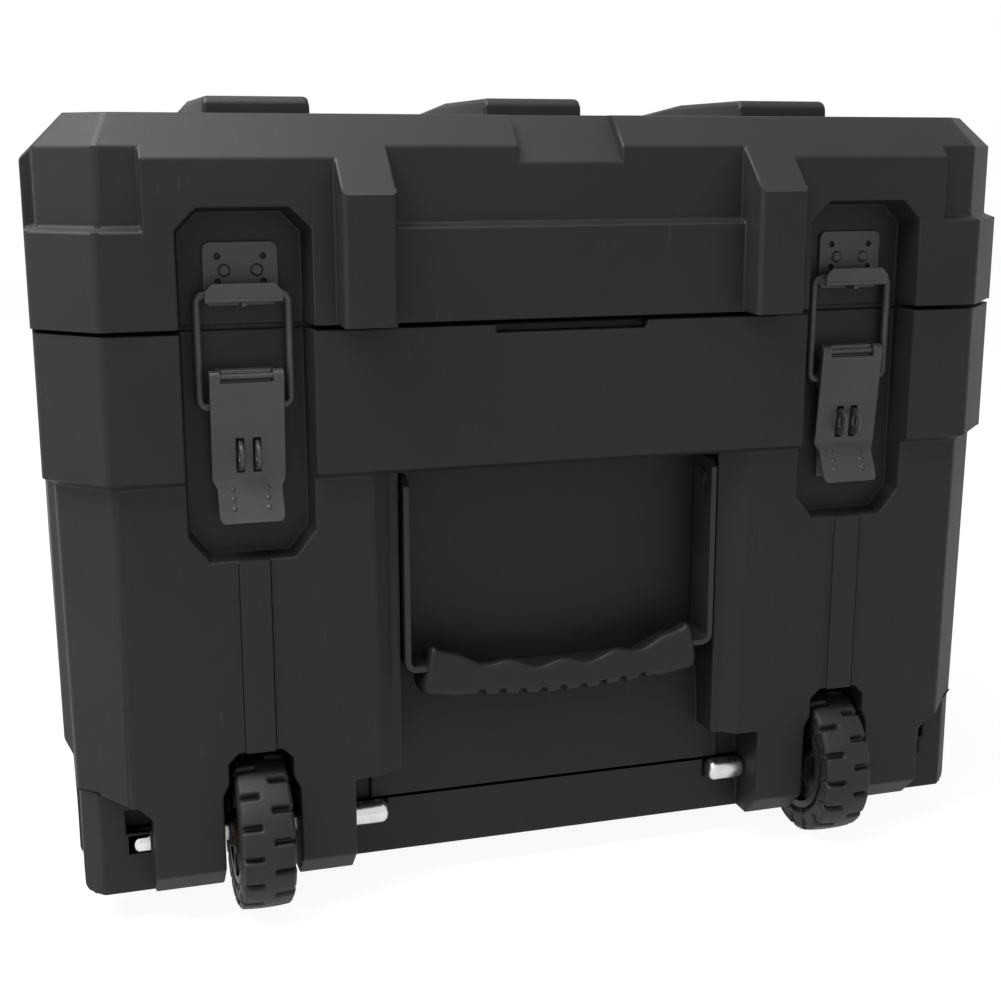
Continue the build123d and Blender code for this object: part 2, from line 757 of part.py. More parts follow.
def latch_lever():
    """Sheet steel lever: two knuckles, side ears for the bail, two hasp slots and a bent tab."""
    depth, z = lever_pivot
    half = latch_plate_width / 2
    tab_half = lever_tab_width / 2
    sheet = profile_yz(lever_face(0) + lever_face(latch_sheet)[::-1], latch_x - half, latch_x + half)
    bend, end = z - lever_bend, z + lever_tab[1] - 1
    neck, shoulder = bend - tab_shoulder, end + tab_corner
    tab = rounded_plate([(latch_x - tab_half, bend), (latch_x + tab_half, bend),
                         (latch_x + tab_half, end), (latch_x - tab_half, end)],
                        tab_corner, -pillar_proud, recess_depth)
    outline = [(latch_x - half, z + 2), (latch_x - half, bend), (latch_x - tab_half, neck),
               (latch_x - tab_half, shoulder), (latch_x + tab_half, shoulder), (latch_x + tab_half, neck),
               (latch_x + half, bend), (latch_x + half, z + 2)]
    lever = sheet & (profile_xz(outline, -pillar_proud, recess_depth) + tab)
    bail_depth, bail_z = depth + bail_pivot_offset[0], z + bail_pivot_offset[1]
    front = depth - knuckle_radius
    back, side_edge = bail_depth + bail_ear * 0.8, bail_ear * 0.45
    ear_points = [(front + latch_sheet / 3, z), (bail_depth, bail_z + bail_ear), (back, bail_z + side_edge),
                  (back, bail_z - side_edge), (bail_depth, bail_z - bail_ear * 0.8),
                  (front + 2 * latch_sheet, bail_z - 2 * bail_ear)]
    for side in (-1, 1):
        edge = latch_x + side * half
        x0, x1 = sorted((edge, edge - side * latch_sheet))
        lever += profile_yz(ear_points, x0, x1)
        x0, x1 = sorted((edge, edge - side * knuckle_width))
        lever += rod_x(knuckle_radius, x0, x1, depth, z)
        slot_x = latch_x + side * hasp_x
        slot_half = hasp_thickness / 2 + hasp_slot_gap
        slot_reach = hasp_height / 2 + slot_end_gap
        lever -= block(slot_x - slot_half, slot_x + slot_half, 0, recess_depth,
                       hasp_z - slot_reach, hasp_z + slot_reach)
    lever -= block(latch_x - half + knuckle_width, latch_x + half - knuckle_width, 0, recess_depth,
                   z - latch_pin_radius - 2 * side_gap, z + knuckle_radius)
    lever -= rod_x(latch_pin_radius + running_gap, latch_x - half - 1, latch_x + half + 1, depth, z)
    lever -= rod_x(bail_radius + running_gap, latch_x - half - 1, latch_x + half + 1, bail_depth, bail_z)
    return lever


def latch_bail():
    """Wire bail: pivot bar behind the lever, two legs, and a top bar split at the keeper's web."""
    pivot = (lever_pivot[0] + bail_pivot_offset[0], lever_pivot[1] + bail_pivot_offset[1])
    wide = bail_half_width

    def spot(x, place):
        return (latch_x + x, front_y + place[0], seam_z + place[1])

    inner = web_half + web_gap
    halves = []
    for side in (-1, 1):
        path = FilletPolyline(spot(0, pivot), spot(side * wide, pivot), spot(side * wide, bail_bar),
                              spot(side * inner, bail_bar), radius=bail_corner)
        section = Plane(origin=path @ 0, z_dir=path % 0) * Circle(bail_radius)
        halves.append(sweep(section, path=path))
    return halves[0] + halves[1]


# ---------------------------------------------------------------- wheels
def tyre():
    """Solid rubber tyre with two staggered rows of lugs."""
    z = axle_z - seam_z
    half = tyre_width / 2
    ring = rod_x(wheel_radius - tread_depth, wheel_x - half, wheel_x + half, wheel_depth, z)
    pitch = 360 / lug_count
    lug_length = lug_share * 2 * pi * wheel_radius / lug_count
    centre = Pos(wheel_x, front_y + wheel_depth, axle_z)
    crown = rod_x(wheel_radius, wheel_x - half, wheel_x + half, wheel_depth, z)
    lugs = []
    for row, side in ((0, -1), (0.5, 1)):
        for index in range(lug_count):
            lug = Box(lug_reach * tyre_width, lug_length, tread_depth * 2)
            lug = Pos(side * half * (1 - lug_reach), 0, wheel_radius - tread_depth) * lug
            lugs.append(centre * Rot((index + row) * pitch, 0, 0) * lug)
    lugs = (lugs[0] + lugs[1:]) & crown
    ring += lugs
    return ring - rod_x(hub_radius, wheel_x - half, wheel_x + half, wheel_depth, z)


def wheel_hub():
    z = axle_z - seam_z
    half = tyre_width / 2 - 1
    hub = rod_x(hub_radius, wheel_x - half, wheel_x + half, wheel_depth, z)
    rim, boss = hub_radius - hub_wall, bush_radius + hub_wall
    for side in (-1, 1):
        face = wheel_x + side * half
        x0, x1 = sorted((face, face - side * hub_dish))
        dish = rod_x(rim, x0, x1, wheel_depth, z) - rod_x(boss, x0, x1, wheel_depth, z)
        spokes = [Pos((x0 + x1) / 2, front_y + wheel_depth, axle_z) * Rot(turn * 60, 0, 0)
                  * Box(x1 - x0, hub_wall, 2 * rim) for turn in range(3)]
        for spoke in spokes:
            dish -= spoke
        hub -= dish
    return hub - rod_x(bush_radius, wheel_x - half, wheel_x + half, wheel_depth, z)


def wheel_bush():
    z = axle_z - seam_z
    half = tyre_width / 2
    outside = rod_x(bush_radius, wheel_x - half, wheel_x + half, wheel_depth, z)
    return outside - rod_x(axle_radius + running_gap, wheel_x - half, wheel_x + half, wheel_depth, z)


def axle():
    return rod_x(axle_radius, cap_inner_end + cap_radius, cap_outer_end - cap_radius, wheel_depth,
                 axle_z - seam_z)


def axle_caps():
    """Domed caps pushed over both ends of the axle."""
    z = axle_z - seam_z
    caps = []
    for end, root in ((cap_inner_end, niche_half - washer_thickness - 1),
                      (cap_outer_end, notch_x + washer_thickness)):
        x0, x1 = sorted((root, end))
        cap = rod_x(cap_radius, x0, x1, wheel_depth, z)
        rim = cap.edges().filter_by(GeomType.CIRCLE).group_by(Axis.X)[-1 if end > root else 0]
        caps.append(fillet(rim, cap_dome) - axle())
    return caps


def axle_washers():
    """Washers between wheel and well, and under each cap."""
    z = axle_z - seam_z
    half = tyre_width / 2
    washers = []
    for x0 in (wheel_x - half - side_gap - washer_thickness, wheel_x + half + side_gap):
        washers.append((x0, washer_radius))
    washers.append((niche_half - washer_thickness, cap_radius))
    washers.append((notch_x, cap_radius))
    return [rod_x(radius, x0, x0 + washer_thickness, wheel_depth, z) - axle() for x0, radius in washers]


# ---------------------------------------------------------------- swing handle
def handle_bar():
    """Flat bar bent to a U, pierced for its pins at the top, with a dipped cross bar."""
    outer, thick = handle_outer_half, handle_thickness
    bottom = -handle_bottom
    top = handle_pivot_z + handle_top_rise

    def half_loop(x, low, dip):
        points = [(-x, top), (-x, low), (-handle_dip_start, low), (-handle_dip_end, low - dip),
                  (handle_dip_end, low - dip), (handle_dip_start, low), (x, low), (x, top)]
        return [(px, front_y + handle_depth[0], seam_z + pz) for px, pz in points]

    outside = FilletPolyline(*half_loop(outer, bottom, handle_dip), radius=handle_bend)
    inside = FilletPolyline(*half_loop(outer - thick, bottom + thick, handle_dip),
                            radius=handle_bend - thick)
    caps = [Line(outside @ 0, inside @ 0), Line(outside @ 1, inside @ 1)]
    face = make_face([outside, inside] + caps)
    width = handle_depth[1] - handle_depth[0]
    bar = extrude(face, width, dir=(0, 1, 0))
    middle = sum(handle_depth) / 2
    low, front, back = bottom - handle_dip, *handle_depth
    corner = handle_top_corner
    bar = bar & profile_yz([(front, low), (front, top - corner), (front + corner, top),
                            (back - corner, top), (back, top - corner), (back, low)], -outer, outer)
    return bar - rod_x(pivot_pin_radius + running_gap, -outer - 1, outer + 1, middle, handle_pivot_z)


def grip_section(x):
    """Height range of the grip at a place along it."""
    share = min(abs(x) / grip_scallop_half, 1.0)
    ease = share * share * (3 - 2 * share)
    top = -grip_mid_top + (grip_mid_top - grip_end_top) * ease
    bottom = -grip_mid_bottom + (grip_mid_bottom - grip_end_bottom) * ease
    if abs(x) < grip_scallop_half:
        wave = cos(pi * grip_scallops * (x / grip_scallop_half + 1))
        top += grip_scallop_depth * wave
    return bottom, top


def handle_grip():
    """Moulded grip with finger scallops above and small ribs below."""
    steps = 8 * grip_scallops
    places = [grip_scallop_half * (2 * i / steps - 1) for i in range(steps + 1)]
    places = [-grip_half] + places + [grip_half]
    sections = []
    for x in places:
        low, high = grip_section(x)
        front, back = grip_depth
        outline = [(front, low), (back, low), (back, high - grip_fall), (front, high)]
        corners = [(x, front_y + depth, seam_z + z) for depth, z in outline]
        sections.append(make_face(FilletPolyline(*corners, radius=grip_round, close=True)))
    grip = loft(sections, ruled=True)
    size = grip_notch_size
    for index in range(grip_notches):
        x = (index - (grip_notches - 1) / 2) * grip_notch_pitch
        low = grip_section(x)[0]
        grip -= block(x - size / 2, x + size / 2, 0, recess_floor_depth, low - 1, low + size)
    return grip - handle_bar()


def pivot_pin():
    """Headed pin that the eye of the handle turns on."""
    middle = sum(handle_depth) / 2
    inner = handle_outer_half - handle_thickness - joint_gap
    shank = rod_x(pivot_pin_radius, inner, niche_half - wall, middle, handle_pivot_z)
    return shank + rod_x(pivot_head_radius, inner - pivot_head, inner, middle, handle_pivot_z)


# ---------------------------------------------------------------- rear hinges
hinge_depth = 2 * half_length + lid_overhang + hinge_wall_gap + hinge_knuckle_radius


def hinge_leaf_part(way):
    """One leaf: way is 1 for the lid's leaf and -1 for the base's."""
    wall_face = 2 * half_length + (lid_overhang if way > 0 else 0)
    outer_face = 2 * half_length + lid_overhang + hinge_leaf
    half = hinge_width / 2
    near = hinge_knuckle_radius + side_gap
    z0, z1 = sorted((way * near, way * hinge_leaf_height))
    leaf = block(hinge_x - half, hinge_x + half, wall_face, outer_face, z0, z1)
    pitch = hinge_width / hinge_knuckles
    for index in range(hinge_knuckles):
        if (index % 2 == 0) != (way < 0):
            continue
        x0 = hinge_x - half + index * pitch + side_gap / 2
        x1 = x0 + pitch - side_gap
        z0, z1 = sorted((0, way * (near + 1)))
        inner_face = 2 * half_length + lid_overhang + hinge_wall_gap
        leaf += block(x0, x1, inner_face, outer_face, z0, z1)
        leaf += rod_x(hinge_knuckle_radius, x0, x1, hinge_depth, 0)
    gap = running_gap if way > 0 else 0
    leaf -= rod_x(hinge_pin_radius + gap, hinge_x - half - 1, hinge_x + half + 1, hinge_depth, 0)
    for hole in hinge_rivet_group(way, hole_only=True):
        leaf -= hole
    return leaf


def hinge_pin():
    half = hinge_width / 2
    pin = rod_x(hinge_pin_radius, hinge_x - half, hinge_x + half, hinge_depth, 0)
    for x0 in (hinge_x - half - hinge_pin_head, hinge_x + half):
        x1 = x0 + hinge_pin_head
        pin += rod_x(hinge_pin_radius + 1, x0, x1, hinge_depth, 0)
    return pin


def hinge_rivet_group(way, hole_only=False):
    """Three rivets through one leaf and the case wall behind it."""
    face = 2 * half_length + lid_overhang + hinge_leaf
    inset = (lid_step - lid_overhang if way > 0 else band_step) + wall
    inside = 2 * half_length - inset
    rivets = []
    for step in (-0.5, 0, 0.5):
        x = hinge_x + step * hinge_rivet_pitch
        z = way * (hinge_leaf_height - hinge_rivet_drop[1 if step else 0])
        if hole_only:
            rivets.append(rod_y(rivet_shank_radius, x, inside, face, z))
            continue
        head = Pos(x, front_y + face, seam_z + z) * Rot(-90, 0, 0)
        cone = Cone(rivet_head_radius, rivet_head_radius - rivet_head, rivet_head,
                    align=(Align.CENTER, Align.CENTER, Align.MIN))
        tail = rod_y(rivet_shank_radius + 1, x, inside - 1, inside, z)
        rivets.append(head * cone + rod_y(rivet_shank_radius, x, inside, face, z) + tail)
    return rivets


def hinge_rivet_holes(way):
    holes = []
    for hole in hinge_rivet_group(way, hole_only=True):
        holes += both_sides(hole)
    return holes


# ---------------------------------------------------------------- rear feet
foot_y = half_length - foot_setback


def foot_screw_places():
    return [(wheel_x - foot_screw_pitch / 2, foot_y), (wheel_x + foot_screw_pitch / 2, foot_y)]


def rear_foot():
    """Rubber foot that holds the rear level with the wheels."""
    foot = Pos(wheel_x, foot_y, belly_z / 2) * Box(*foot_size, belly_z)
    foot = chamfer(foot.edges().group_by(Axis.Z)[0], foot_bevel)
    head_radius, head_height = foot_screw_head
    for x, y in foot_screw_places():
        foot -= Pos(x, y, belly_z / 2) * Cylinder(foot_screw_radius, belly_z)
        foot -= Pos(x, y, 2 * head_height / 2) * Cylinder(head_radius, 2 * head_height)
    return foot


def foot_screws():
    head_radius, head_height = foot_screw_head
    screws = []
    for x, y in foot_screw_places():
        length = belly_z + wall - 2 * head_height
        shank = Pos(x, y, 2 * head_height + length / 2) * Cylinder(foot_screw_radius, length)
        head = Pos(x, y, 1.5 * head_height) * Cylinder(head_radius, head_height)
        screws.append(shank + head)
    return screws


def foot_screw_holes():
    holes = []
    for x, y in foot_screw_places():
        holes += both_sides(Pos(x, y, belly_z + wall / 2) * Cylinder(foot_screw_radius, wall))
    return holes


# ---------------------------------------------------------------- write every node
def save_pair(name, build):
    """Save a piece for the right side and its mirror image for the left."""
    shapes = build if isinstance(build, list) else [build]
    save(f"{name}_right", *shapes)
    save(f"{name}_left", *[other_side(shape) for shape in shapes])


os.makedirs("parts", exist_ok=True)
save("base_shell", base_shell())
save("lid_shell", lid_shell())
save("lid_seal", seal_ring(seal_side_gap, base_top - seal_groove, lid_bottom))

save_pair("keeper_plate", keeper_plate() - keeper_rivets(hole_only=True))
save_pair("keeper_rivets", keeper_rivets())
save_pair("latch_base", latch_base())
save_pair("latch_base_rivets", latch_base_rivets())
save_pair("padlock_loops", padlock_loops())
save_pair("latch_pin", latch_pin())
save_pair("latch_lever", latch_lever())
save_pair("latch_bail", latch_bail())

save_pair("tyre", tyre())
save_pair("wheel_hub", wheel_hub())
save_pair("wheel_bush", wheel_bush())
save_pair("axle", axle())
save_pair("axle_caps", axle_caps())
save_pair("axle_washers", axle_washers())

bar, grip, pins = handle_bar(), handle_grip(), both_sides(pivot_pin())
save("front_handle_bar", bar)
save("front_handle_grip", grip)
save("front_handle_pins", *pins)
save("rear_handle_bar", other_end(bar))
save("rear_handle_grip", other_end(grip))
save("rear_handle_pins", *[other_end(pin) for pin in pins])

save_pair("hinge_lid_leaf", hinge_leaf_part(1))
save_pair("hinge_base_leaf", hinge_leaf_part(-1))
save_pair("hinge_pin", hinge_pin())
save_pair("hinge_lid_rivets", hinge_rivet_group(1))
save_pair("hinge_base_rivets", hinge_rivet_group(-1))

save_pair("rear_foot", rear_foot())
save_pair("foot_screws", foot_screws())
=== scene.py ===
from math import cos, pi, radians, sin, sqrt

import bmesh
import bpy
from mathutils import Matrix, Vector


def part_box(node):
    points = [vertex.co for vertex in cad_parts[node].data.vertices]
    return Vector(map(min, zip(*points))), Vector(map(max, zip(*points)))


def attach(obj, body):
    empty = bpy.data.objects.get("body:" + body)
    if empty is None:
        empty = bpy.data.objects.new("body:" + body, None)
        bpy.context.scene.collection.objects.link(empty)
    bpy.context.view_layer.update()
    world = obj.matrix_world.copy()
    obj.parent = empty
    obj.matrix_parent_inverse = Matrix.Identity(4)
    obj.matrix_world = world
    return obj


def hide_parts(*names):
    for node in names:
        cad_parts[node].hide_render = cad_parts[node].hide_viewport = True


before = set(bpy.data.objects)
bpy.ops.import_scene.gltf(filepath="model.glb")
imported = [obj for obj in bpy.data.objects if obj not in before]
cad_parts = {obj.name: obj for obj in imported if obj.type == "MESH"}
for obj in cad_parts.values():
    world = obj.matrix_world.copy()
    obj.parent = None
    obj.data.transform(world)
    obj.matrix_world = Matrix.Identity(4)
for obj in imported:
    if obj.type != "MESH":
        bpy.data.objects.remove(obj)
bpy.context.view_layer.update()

# ---------------------------------------------------------------- the case
# Base and lid of a rolling tool box. Both are thick black polypropylene mouldings,
# so every outside corner has the soft radius that lets the part leave its mould.
MM = 0.001
CASE_ROUNDING = 1.2
BEVEL_STEPS = 2
SMOOTH_UNDER_DEG = 38       # edges sharper than this keep a crisp shading line


def linear(hex_code):
    """An sRGB hex colour as the linear colour that a shader takes."""
    values = [int(hex_code[i:i + 2], 16) / 255 for i in (1, 3, 5)]
    return [v / 12.92 if v <= 0.04045 else ((v + 0.055) / 1.055) ** 2.4 for v in values] + [1.0]


def add_node(tree, kind, inputs=(), **settings):
    """Adds one shader node with its settings, and its inputs as values or links."""
    node = tree.nodes.new(kind)
    for name, value in settings.items():
        setattr(node, name, value)
    for socket, value in dict(inputs).items():
        if isinstance(value, bpy.types.NodeSocket):
            tree.links.new(value, node.inputs[socket])
        else:
            node.inputs[socket].default_value = value
    return node


def surface_material(name, dark, light, roughness, spread, grain_mm, bump_mm, ior=1.5,
                     metallic=0.0, patch_mm=90.0, scuff=0.0, shine=0.5):
    """A material whose tone and gloss drift over broad patches under one fine grain."""
    material = bpy.data.materials.new(name)
    material.use_nodes = True
    tree = material.node_tree
    tree.nodes.clear()
    place = add_node(tree, "ShaderNodeTexCoord").outputs["Object"]
    patches = add_node(tree, "ShaderNodeTexNoise", {"Vector": place, "Scale": 1 / (patch_mm * MM),
                                                    "Detail": 4.0, "Roughness": 0.6})
    grain = add_node(tree, "ShaderNodeTexNoise", {"Vector": place, "Scale": 1 / (grain_mm * MM),
                                                  "Detail": 3.0, "Roughness": 0.65})
    tone = add_node(tree, "ShaderNodeValToRGB", {"Fac": patches.outputs["Fac"]})
    tone.color_ramp.elements[0].position = 0.35
    tone.color_ramp.elements[0].color = linear(dark)
    tone.color_ramp.elements[1].position = 0.65
    tone.color_ramp.elements[1].color = linear(light)
    mixed = add_node(tree, "ShaderNodeMath", {0: patches.outputs["Fac"], 1: grain.outputs["Fac"]},
                     operation="ADD")
    gloss = add_node(tree, "ShaderNodeMapRange", {"Value": mixed.outputs["Value"], "From Min": 0.7,
                                                  "From Max": 1.3, "To Min": roughness - spread,
                                                  "To Max": roughness + spread})
    relief = add_node(tree, "ShaderNodeBump", {"Height": grain.outputs["Fac"], "Strength": 1.0,
                                               "Distance": bump_mm * MM})
    colour, rough = tone.outputs["Color"], gloss.outputs["Result"]
    if scuff:
        streak = add_node(tree, "ShaderNodeMapping", {"Vector": place, "Scale": (900, 140, 60)})
        marks = add_node(tree, "ShaderNodeTexNoise", {"Vector": streak.outputs["Vector"], "Scale": 1.0,
                                                      "Detail": 2.0})
        thin = add_node(tree, "ShaderNodeMapRange", {"Value": marks.outputs["Fac"], "From Min": 0.68,
                                                     "From Max": 0.78, "To Min": 0.0, "To Max": scuff})
        pale = add_node(tree, "ShaderNodeMix", {"Factor": thin.outputs["Result"], 6: colour,
                                                7: linear("#3c3c3d")}, data_type="RGBA")
        colour = pale.outputs[2]
    shader = add_node(tree, "ShaderNodeBsdfPrincipled", {
        "Base Color": colour, "Roughness": rough, "Normal": relief.outputs["Normal"],
        "IOR": ior, "Metallic": metallic, "Specular IOR Level": shine})
    add_node(tree, "ShaderNodeOutputMaterial", {"Surface": shader.outputs["BSDF"]})
    return material


def finish_node(name, material):
    """A CAD solid that keeps its own shape gets its real finish."""
    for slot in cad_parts[name].material_slots:
        slot.material = material


def new_piece(name, work, material, body):
    """Turns a built mesh into a smooth-shaded piece that rides on its body."""
    mesh = bpy.data.meshes.new(name)
    work.to_mesh(mesh)
    work.free()
    piece = bpy.data.objects.new(name, mesh)
    bpy.context.scene.collection.objects.link(piece)
    mesh.materials.append(material)
    for face in mesh.polygons:
        face.use_smooth = True
    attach(piece, body)
    return piece


def soften(node, body, material, radius_mm, sharp_deg=24, shortest_mm=0.7,
           crisp=lambda edge: False):
    """Copies a CAD solid and rounds its edges; the rounded copy stands in for the solid."""
    work = bmesh.new()
    work.from_mesh(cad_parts[node].data)
    bmesh.ops.remove_doubles(work, verts=work.verts, dist=1e-6)
    bmesh.ops.dissolve_limit(work, angle_limit=radians(0.5), verts=work.verts, edges=work.edges)
    edges = [e for e in work.edges if len(e.link_faces) == 2
             and e.calc_face_angle(0.0) > radians(sharp_deg)
             and e.calc_length() > shortest_mm * MM and not crisp(e)]
    bmesh.ops.bevel(work, geom=edges, offset=radius_mm * MM, segments=BEVEL_STEPS, profile=0.5,
                    affect="EDGES", clamp_overlap=False, harden_normals=False)
    for edge in work.edges:
        edge.smooth = edge.calc_face_angle(0.0) < radians(SMOOTH_UNDER_DEG)
    piece = new_piece(node + "_moulded", work, material, body)
    weighted = piece.modifiers.new("flat faces stay flat", "WEIGHTED_NORMAL")
    weighted.keep_sharp = True
    weighted.weight = 80
    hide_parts(node)
    return piece


# Injection-moulded polypropylene, through-coloured black. Fine spark texture from the mould
# breaks the shine into a soft satin; 1 mm is as fine as it can be drawn here.
moulded_polypropylene = surface_material("black_polypropylene_moulded", "#161617", "#1a1a1b",
                                         roughness=0.56, spread=0.05, grain_mm=1.0, bump_mm=0.03,
                                         ior=1.49, scuff=0.25, shine=0.25)
soften("base_shell", "case", moulded_polypropylene, CASE_ROUNDING)

# The long ramps of the stacking pads run out to nothing, so their feet stay crisp.
PAD_HEIGHT = 9.0
PAD_FIELD_INSET = 40        # the pads lie further than this from every edge of the lid
lid_low, lid_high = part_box("lid_shell")
pad_foot = lid_high.z - PAD_HEIGHT * MM


def at_pad_foot(edge):
    """True for an edge that ends at the foot of a stacking pad."""
    inset = PAD_FIELD_INSET * MM
    return any(pad_foot - 0.5 * MM < v.co.z < pad_foot + 3 * MM
               and lid_low.x + inset < v.co.x < lid_high.x - inset
               and lid_low.y + inset < v.co.y < lid_high.y - inset for v in edge.verts)


soften("lid_shell", "lid", moulded_polypropylene, CASE_ROUNDING, crisp=at_pad_foot)

# ---------------------------------------------------------------- lid seal
# Solid cord of EPDM rubber pressed into a groove round the mouth of the base.
# It is dull, slightly chalky and a little greyer than the case.
epdm_rubber = surface_material("epdm_rubber_extruded", "#151515", "#1b1b1a", roughness=0.72,
                               spread=0.08, grain_mm=0.8, bump_mm=0.02, ior=1.52, patch_mm=25)
finish_node("lid_seal", epdm_rubber)

# ---------------------------------------------------------------- draw latches
# Keeper, base plate, lever, wire bail and padlock loops, pressed from steel sheet and wire
# and finished in dark grey epoxy coat, which rounds the edges and levels to a faint ripple.
coated_steel = surface_material("dark_grey_epoxy_coated_steel", "#2f2f30", "#353536",
                                roughness=0.40, spread=0.05, grain_mm=0.9, bump_mm=0.015,
                                patch_mm=30, shine=0.4)
for side in ("left", "right"):
    for part, body in (("keeper_plate", "lid"), ("latch_base", "case"), ("padlock_loops", "case"),
                       ("latch_lever", "lever_" + side)):
        soften(f"{part}_{side}", body, coated_steel, 0.3, shortest_mm=0.25)
    for part in ("keeper_rivets", "latch_base_rivets", "latch_pin", "latch_bail"):
        finish_node(f"{part}_{side}", coated_steel)

# Six small dimples pressed out of each lever's sloping tab, for grip, in two rows of three.
DIMPLE_RADIUS = 1.3
DIMPLE_POINTS = 12
DIMPLE_RINGS = ((1.0, 0.0), (0.8, 0.405), (0.45, 0.72))     # share of the radius, rise in mm
DIMPLE_TIP = 1.0
DIMPLE_ROWS = (-8.0, 8.0)
DIMPLE_HEIGHTS = (6.4, 10.6, 14.8)
DIMPLE_SINK = 0.1           # a dimple's foot sits behind the tab's face by this
TAB_SLOPE = 0.5


def add_dimple(work, x, y, z):
    """One domed dimple on the tab, which leans forward by TAB_SLOPE as it goes down."""
    rings = []
    for ring, rise in DIMPLE_RINGS:
        radius = ring * DIMPLE_RADIUS
        circle = []
        for point in range(DIMPLE_POINTS):
            angle = 2 * pi * point / DIMPLE_POINTS
            up = radius * sin(angle)
            circle.append(work.verts.new((x + radius * cos(angle) * MM,
                                          y + (TAB_SLOPE * up - rise) * MM, z + up * MM)))
        rings.append(circle)
    tip = work.verts.new((x, y - DIMPLE_TIP * MM, z))
    for outer, inner in zip(rings, rings[1:]):
        for a in range(DIMPLE_POINTS):
            b = (a + 1) % DIMPLE_POINTS
            work.faces.new((outer[a], outer[b], inner[b], inner[a]))
    for a in range(DIMPLE_POINTS):
        work.faces.new((rings[-1][a], rings[-1][(a + 1) % DIMPLE_POINTS], tip))


for side in ("left", "right"):
    low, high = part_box("latch_lever_" + side)
    middle = (low.x + high.x) / 2
    work = bmesh.new()
    for across in DIMPLE_ROWS:
        for height in DIMPLE_HEIGHTS:
            add_dimple(work, middle + across * MM, low.y + (TAB_SLOPE * height + DIMPLE_SINK) * MM,
                       low.z + height * MM)
    new_piece("lever_dimples_" + side, work, coated_steel, "lever_" + side)

# ---------------------------------------------------------------- wheels
# Solid rubber tyres with two staggered rows of lugs round a middle rib, moulded on
# nylon hubs that run on bronze bushes. The lugs carry on over the shoulders.
LUGS = 16
TYRE_HALF = 13.5
TREAD_RADIUS = 40.0
GROOVE_DEPTH = 4.0
GROOVE_WIDTH = 2.8
GROOVE_SLOPE = 0.7          # half the width over which a groove's side falls
MIDDLE_RIB = (0.16, 0.26)   # across, where a groove starts and where it is at full depth
CROWN = 0.9
TREAD_INSET = 0.2           # the tread stays inside its full radius by this
BEAD_RADIUS = 27.0          # where the side wall meets the hub
BEAD_INSET = 1.2            # the wall draws in by this at the hub
BEAD_RIDGE = 0.45
WALL_INSET = 1.45
WALL_BULGE = 1.4
WALL_END_DROP = 2.2         # the wall ends below the tread's edge by this
SHOULDER_DROP = 2.0
STEPS_PER_LUG = 26
STEPS_ACROSS = 44
STEPS_UP_WALL = 9


def smooth_step(low, high, value):
    """Eases from 0 at low to 1 at high."""
    share = min(max((value - low) / (high - low), 0.0), 1.0)
    return share * share * (3 - 2 * share)


def tyre_point(turn, across):
    """Radius of the tread at a turn, in lug pitches, and a place across, from -1 to 1."""
    shift = 0.0 if across < 0 else 0.5
    pitch_mm = 2 * pi * TREAD_RADIUS / LUGS
    from_groove = abs((turn + shift + 0.5) % 1.0 - 0.5) * pitch_mm
    open_groove = 1 - smooth_step(GROOVE_WIDTH / 2 - GROOVE_SLOPE, GROOVE_WIDTH / 2 + GROOVE_SLOPE,
                                  from_groove)
    reach = smooth_step(*MIDDLE_RIB, abs(across))
    crown = CROWN * across * across
    return TREAD_RADIUS - TREAD_INSET - crown - GROOVE_DEPTH * open_groove * reach


def wall_profile(turn, end):
    """One side wall from bead to shoulder, as places across and radii; end is -1 or 1."""
    rim = tyre_point(turn, end * 0.98)
    wall = []
    for i in range(STEPS_UP_WALL):
        share = i / STEPS_UP_WALL
        radius = BEAD_RADIUS + (rim - WALL_END_DROP - BEAD_RADIUS) * share
        bulge = WALL_BULGE * sin(pi * share) - BEAD_INSET * (1 - share)
        bead = BEAD_RIDGE * sin(pi * smooth_step(0.25, 0.4, share)) * (1 if share < 0.4 else 0)
        wall.append((end * (TYRE_HALF - WALL_INSET + bulge + bead), radius))
    return wall


def tread_profile(turn):
    """The tread from one shoulder to the other, as places across and radii."""
    tread = []
    for i in range(STEPS_ACROSS + 1):
        across = -1 + 2 * i / STEPS_ACROSS
        edge = smooth_step(0.82, 1.0, abs(across))
        tread.append((across * (TYRE_HALF - 0.15 - 0.3 * edge),
                      tyre_point(turn, across) - SHOULDER_DROP * edge * edge))
    return tread


def tyre_mesh(centre):
    """The tyre as closed sections, one after the other round the wheel."""
    work = bmesh.new()
    around = LUGS * STEPS_PER_LUG
    rows = []
    for step in range(around):
        turn = step / STEPS_PER_LUG
        angle = 2 * pi * step / around
        section = wall_profile(turn, -1) + tread_profile(turn) + wall_profile(turn, 1)[::-1]
        rows.append([work.verts.new((centre.x + x * MM, centre.y + radius * cos(angle) * MM,
                                     centre.z + radius * sin(angle) * MM))
                     for x, radius in section])
    count = len(rows[0])
    for a in range(around):
        here, there = rows[a], rows[(a + 1) % around]
        for i in range(count):
            j = (i + 1) % count
            work.faces.new((here[i], here[j], there[j], there[i]))
    return work


# Carbon-black rubber straight from the mould: matt, with faint bloom in the hollows.
tyre_rubber = surface_material("tyre_rubber_moulded", "#141414", "#1b1b1b", roughness=0.55,
                               spread=0.08, grain_mm=0.9, bump_mm=0.05, ior=1.52, patch_mm=18,
                               shine=0.3)
# Glass-filled nylon: even black with a soft sheen.
glass_filled_nylon = surface_material("glass_filled_nylon_moulded", "#171718", "#1c1c1d",
                                      roughness=0.45, spread=0.06, grain_mm=0.8, bump_mm=0.02,
                                      ior=1.53, patch_mm=20, shine=0.3)
